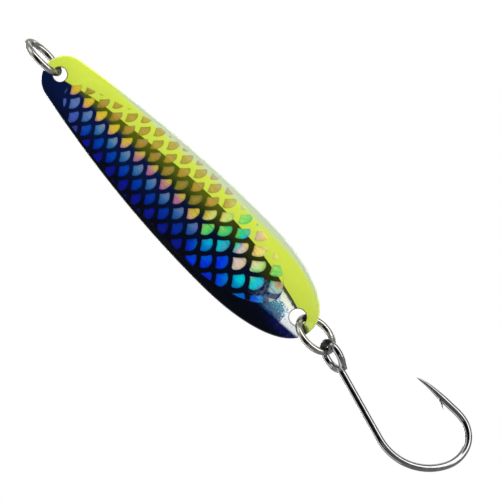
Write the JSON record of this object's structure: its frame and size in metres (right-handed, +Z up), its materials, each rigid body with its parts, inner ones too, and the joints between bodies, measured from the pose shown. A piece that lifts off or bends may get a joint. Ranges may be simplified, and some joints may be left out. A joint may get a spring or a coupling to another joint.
{
  "type": "spoon lure",
  "caption": "Spoon fishing lure: a cupped painted metal blade with holographic scale film, a ring at each end and an open-eye single hook.",
  "frame": {"origin": "top of the hole in the line-tie ring, where a snap or a knot bears", "axes": "+Z up along the hanging lure, from hook to line tie; +X toward the blade's yellow edge; the painted convex face looks along -Y"},
  "size_m": [0.0224, 0.0188, 0.1444],
  "materials": {
    "line_ring": "bright nickel plate on steel wire",
    "blade_paint": "nickel-plated metal with chartreuse and transparent navy lacquer, high gloss",
    "scale_foil": "holographic fish-scale film under clear lacquer",
    "hook_ring": "bright nickel plate on steel wire",
    "hook": "black nickel plate, polished"
  },
  "bodies": {
    "line_ring": {"line_ring": "line_ring"},
    "blade": {"blade": "blade_paint", "scale_foil": "scale_foil"},
    "hook_ring": {"hook_ring": "hook_ring"},
    "hook": {"hook": "hook"}
  },
  "joints": [
    {"name": "blade_swing", "type": "hinge", "parent": "line_ring", "child": "blade", "pos_m": [0, 0, -0.00985], "axis": [0, 1, 0], "range_deg": [-110, 110]},
    {"name": "hook_ring_swing", "type": "hinge", "parent": "blade", "child": "hook_ring", "pos_m": [0, 0, -0.0908], "axis": [0, 1, 0], "range_deg": [-80, 80]},
    {"name": "hook_swing", "type": "hinge", "parent": "hook_ring", "child": "hook", "pos_m": [0.0001, 0, -0.1018], "axis": [0.4289, 0.9033, 0], "range_deg": [-90, 90]}
  ]
}
